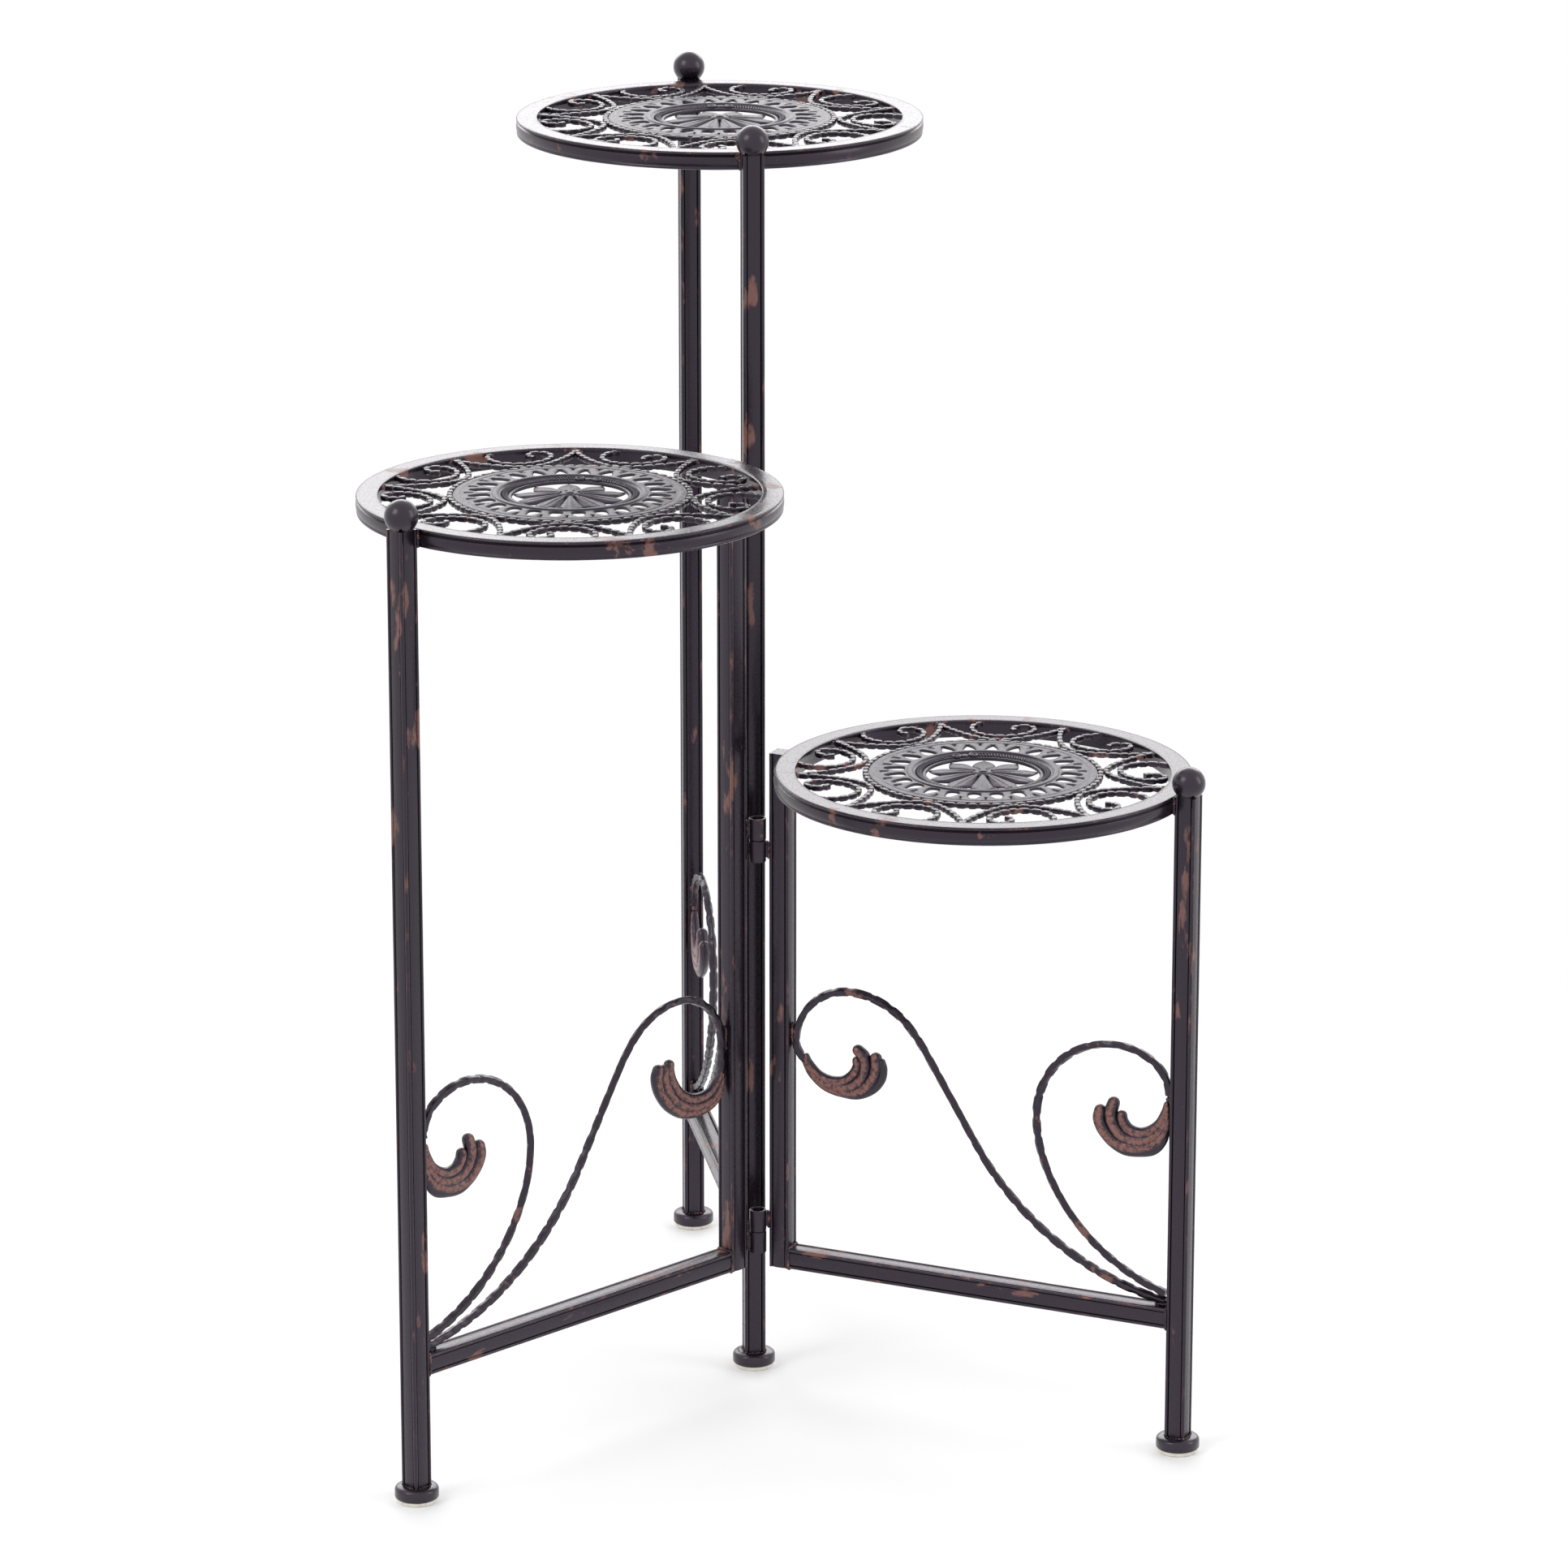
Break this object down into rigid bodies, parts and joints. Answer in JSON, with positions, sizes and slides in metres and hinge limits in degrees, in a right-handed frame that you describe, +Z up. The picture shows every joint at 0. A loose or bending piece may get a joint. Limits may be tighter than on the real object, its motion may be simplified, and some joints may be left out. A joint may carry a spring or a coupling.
{
  "type": "folding plant stand",
  "caption": "Folding tiered plant stand of hinged upright frames in reeded square bar, each with a round pierced tray and scrollwork below.",
  "frame": {"origin": "middle of the footprint box on the floor, under the three frames", "axes": "+Z up; +Y away from the viewer of the picture, towards the tallest frame's outer leg; +X to the viewer's right, towards the lowest frame"},
  "size_m": [0.4568, 0.4842, 0.7158],
  "materials": {
    "painted_bar": "antiqued dark brown paint, satin, rubbed through to copper on edges",
    "casting": "cast relief in the same antiqued dark brown paint",
    "hinge": "painted steel, rubbed at the welds",
    "glide": "pale moulded plastic"
  },
  "bodies": {
    "tall": {"rear_hinge_pins": "hinge", "tall_balls_and_feet": "painted_bar", "tall_glides": "glide", "tall_inner_leg": "painted_bar", "tall_leaves": "casting", "tall_outer_leg": "painted_bar", "tall_rear_knuckles": "hinge", "tall_small_scroll": "painted_bar", "tall_stretcher": "painted_bar", "tall_tall_scroll": "painted_bar", "tall_tray_arches": "painted_bar", "tall_tray_band": "painted_bar", "tall_tray_hooks": "painted_bar", "tall_tray_medallion": "casting", "tall_tray_ring": "painted_bar"},
    "middle": {"front_hinge_pins": "hinge", "middle_balls_and_feet": "painted_bar", "middle_front_knuckles": "hinge", "middle_glides": "glide", "middle_inner_leg": "painted_bar", "middle_leaves": "casting", "middle_outer_leg": "painted_bar", "middle_rear_knuckles": "hinge", "middle_small_scroll": "painted_bar", "middle_stretcher": "painted_bar", "middle_tall_scroll": "painted_bar", "middle_tray_arches": "painted_bar", "middle_tray_band": "painted_bar", "middle_tray_hooks": "painted_bar", "middle_tray_medallion": "casting", "middle_tray_ring": "painted_bar"},
    "low": {"low_balls_and_feet": "painted_bar", "low_front_knuckles": "hinge", "low_glides": "glide", "low_inner_leg": "painted_bar", "low_leaves": "casting", "low_outer_leg": "painted_bar", "low_small_scroll": "painted_bar", "low_stretcher": "painted_bar", "low_tall_scroll": "painted_bar", "low_tray_arches": "painted_bar", "low_tray_band": "painted_bar", "low_tray_hooks": "painted_bar", "low_tray_medallion": "casting", "low_tray_ring": "painted_bar"}
  },
  "joints": [
    {"name": "rear_hinge", "type": "hinge", "parent": "tall", "child": "middle", "pos_m": [-0.02949, -0.0233, 0.1945], "axis": [0, 0, 1], "range_deg": [-126, 30]},
    {"name": "front_hinge", "type": "hinge", "parent": "middle", "child": "low", "pos_m": [-0.01535, -0.04098, 0.2085], "axis": [0, 0, 1], "range_deg": [-108, 35]}
  ]
}
